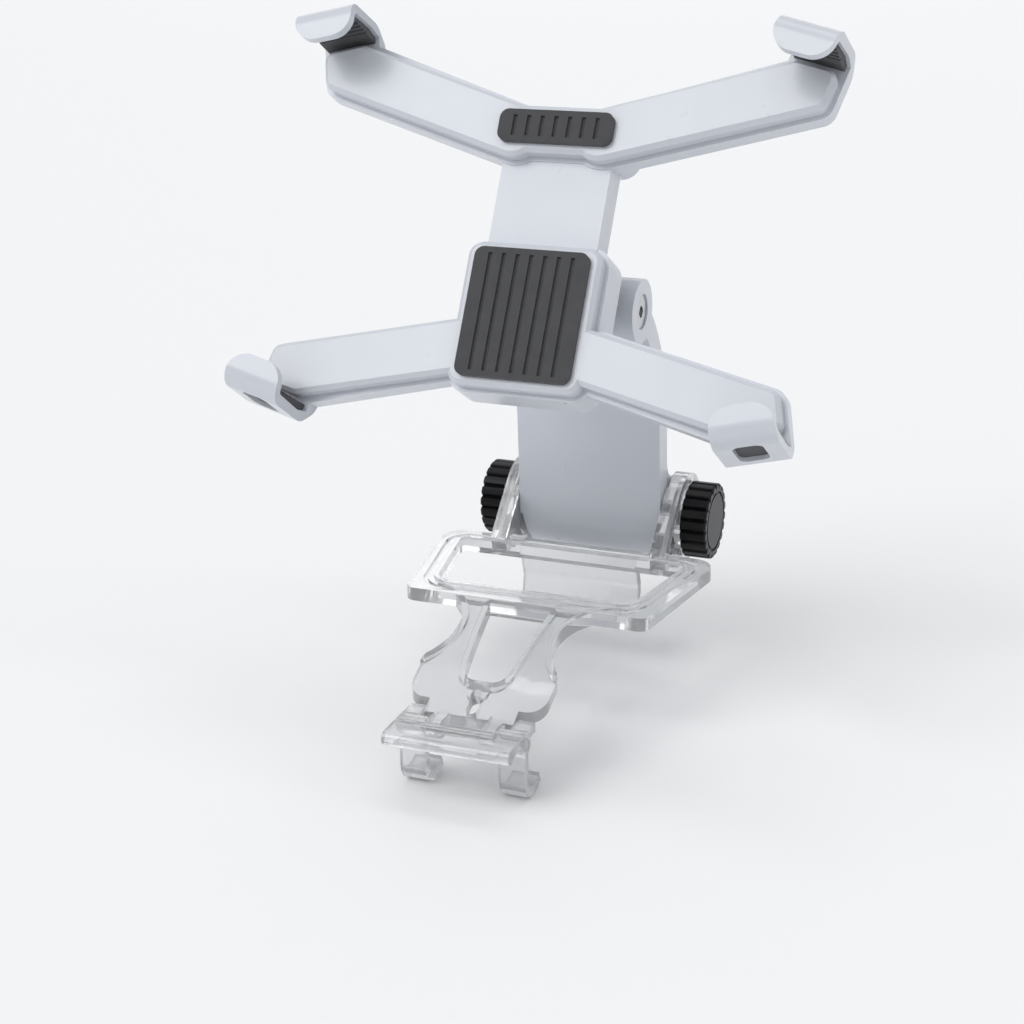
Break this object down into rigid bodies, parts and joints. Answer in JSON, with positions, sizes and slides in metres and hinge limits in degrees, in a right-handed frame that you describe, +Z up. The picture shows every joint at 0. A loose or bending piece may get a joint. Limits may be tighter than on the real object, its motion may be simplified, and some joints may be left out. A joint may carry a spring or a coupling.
{
  "type": "phone clamp",
  "caption": "Spring-jaw phone clamp with hooked claws on a tilting stem, on a clear base with a rear hook and a front latch.",
  "frame": {"origin": "on the underside of the base, under the middle of the bar between its two windows", "axes": "+X to the right, +Y to the back where the stem's hinge is, +Z up from the seat towards the claws"},
  "size_m": [0.1178, 0.1065, 0.149],
  "materials": {
    "clear_plastic": "clear moulded polycarbonate, polished",
    "white_plastic": "cool white moulded plastic, fine satin gloss",
    "black_plastic": "black moulded plastic with fluted edge",
    "grey_rubber": "ribbed silicone rubber",
    "steel": "zinc-plated steel",
    "brass": "turned brass",
    "nylon": "natural nylon"
  },
  "bodies": {
    "base": {"base_frame": "clear_plastic", "latch_pin": "steel", "latch_spring": "steel", "washer_left": "steel", "washer_right": "steel"},
    "latch": {"front_latch": "clear_plastic"},
    "knob_left": {"knob_left": "black_plastic", "knob_screw_left": "steel"},
    "knob_right": {"knob_right": "black_plastic", "knob_screw_right": "steel"},
    "stem": {"stem_shell": "white_plastic", "stem_cover": "white_plastic", "insert_left": "brass", "insert_right": "brass", "neck_bolt": "steel", "neck_nut": "steel"},
    "head": {"neck_bracket": "white_plastic", "neck_washers": "nylon", "bracket_screws": "steel", "lower_jaw_rear": "white_plastic", "lower_jaw_cover": "white_plastic", "lower_jaw_screws": "steel", "lower_back_pad": "grey_rubber", "lower_claw_pad_left": "grey_rubber", "lower_claw_pad_right": "grey_rubber"},
    "upper_jaw": {"upper_jaw_rear": "white_plastic", "upper_jaw_cover": "white_plastic", "upper_jaw_screws": "steel", "upper_back_pad": "grey_rubber", "upper_claw_pad_left": "grey_rubber", "upper_claw_pad_right": "grey_rubber", "spring_left": "steel", "spring_right": "steel"}
  },
  "joints": [
    {"name": "stem_tilt", "type": "hinge", "parent": "base", "child": "stem", "pos_m": [0, 0.05, 0.0065], "axis": [1, 0, 0], "range_deg": [-85, 20]},
    {"name": "head_tilt", "type": "hinge", "parent": "stem", "child": "head", "pos_m": [0, 0.02611, 0.0611], "axis": [1, 0, 0], "range_deg": [-45, 35]},
    {"name": "jaw_slide", "type": "slide", "parent": "head", "child": "upper_jaw", "axis": [0, 0.509, 0.8607], "range_m": [-0.0135, 0.01], "stiffness_N_per_m": 400, "deforming": ["spring_left", "spring_right"]},
    {"name": "latch_turn", "type": "hinge", "parent": "base", "child": "latch", "pos_m": [0, -0.0362, -0.01241], "axis": [1, 0, 0], "range_deg": [-40, 0], "stiffness_Nm_per_rad": 0.06, "springref_deg": 20.05},
    {"name": "knob_left_turn", "type": "hinge", "parent": "base", "child": "knob_left", "pos_m": [0, 0.05, 0.0065], "axis": [-1, 0, 0], "range_deg": [0, 360]},
    {"name": "knob_right_turn", "type": "hinge", "parent": "base", "child": "knob_right", "pos_m": [0, 0.05, 0.0065], "axis": [1, 0, 0], "range_deg": [0, 360]}
  ]
}
